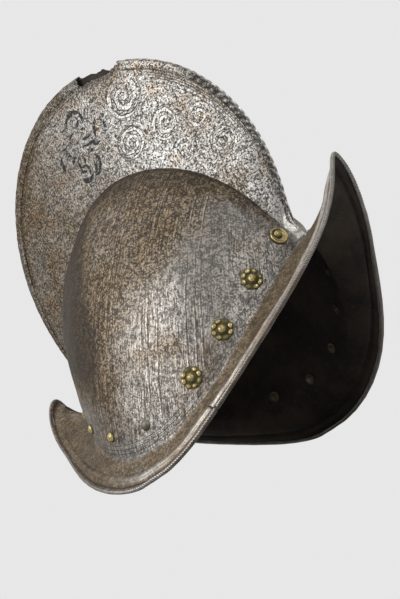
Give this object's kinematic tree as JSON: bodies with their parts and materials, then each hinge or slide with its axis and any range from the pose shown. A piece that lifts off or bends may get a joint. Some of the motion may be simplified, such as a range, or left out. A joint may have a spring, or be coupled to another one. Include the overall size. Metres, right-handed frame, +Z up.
{
  "type": "comb morion",
  "caption": "Comb morion: an open steel helmet forged in halves, with a tall comb, a boat-shaped brim with raised peaks, a roped edge and lining rivets on brass rosettes",
  "frame": {"origin": "Under the middle of the helmet, on the surface that it stands on: the middle of the bounding box's underside", "axes": "+X towards the wearer's front, +Y towards the wearer's left, +Z up; the halves meet in the plane y = 0"},
  "size_m": [0.3336, 0.231, 0.3172],
  "materials": {
    "old_steel": "old forged steel, etched, pitted and brown in the hollows",
    "iron_wire": "dull iron wire, closed in the rolled edge",
    "brass": "worn brass with green and brown tarnish",
    "iron_rivet": "dull iron, worn bright on the domes"
  },
  "bodies": {
    "root": {"right_half": "old_steel", "left_half": "old_steel", "right_edge_wire": "iron_wire", "left_edge_wire": "iron_wire", "front_washer_right": "brass", "front_washer_left": "brass", "rosette_right_2": "brass", "rosette_right_3": "brass", "rosette_right_4": "brass", "rosette_left_2": "brass", "rosette_left_3": "brass", "rosette_left_4": "brass", "rivet_right_1": "brass", "rivet_right_2": "brass", "rivet_right_3": "brass", "rivet_right_4": "brass", "rivet_right_5": "iron_rivet", "rivet_right_6": "brass", "rivet_right_7": "brass", "rivet_right_8": "brass", "rivet_left_1": "brass", "rivet_left_2": "brass", "rivet_left_3": "brass", "rivet_left_4": "brass", "rivet_left_5": "iron_rivet", "rivet_left_6": "brass", "rivet_left_7": "brass", "rivet_left_8": "brass", "burr_right_1": "iron_rivet", "burr_right_2": "iron_rivet", "burr_right_3": "iron_rivet", "burr_right_4": "iron_rivet", "burr_right_5": "iron_rivet", "burr_right_6": "iron_rivet", "burr_right_7": "iron_rivet", "burr_right_8": "iron_rivet", "burr_left_1": "iron_rivet", "burr_left_2": "iron_rivet", "burr_left_3": "iron_rivet", "burr_left_4": "iron_rivet", "burr_left_5": "iron_rivet", "burr_left_6": "iron_rivet", "burr_left_7": "iron_rivet", "burr_left_8": "iron_rivet"}
  },
  "joints": []
}
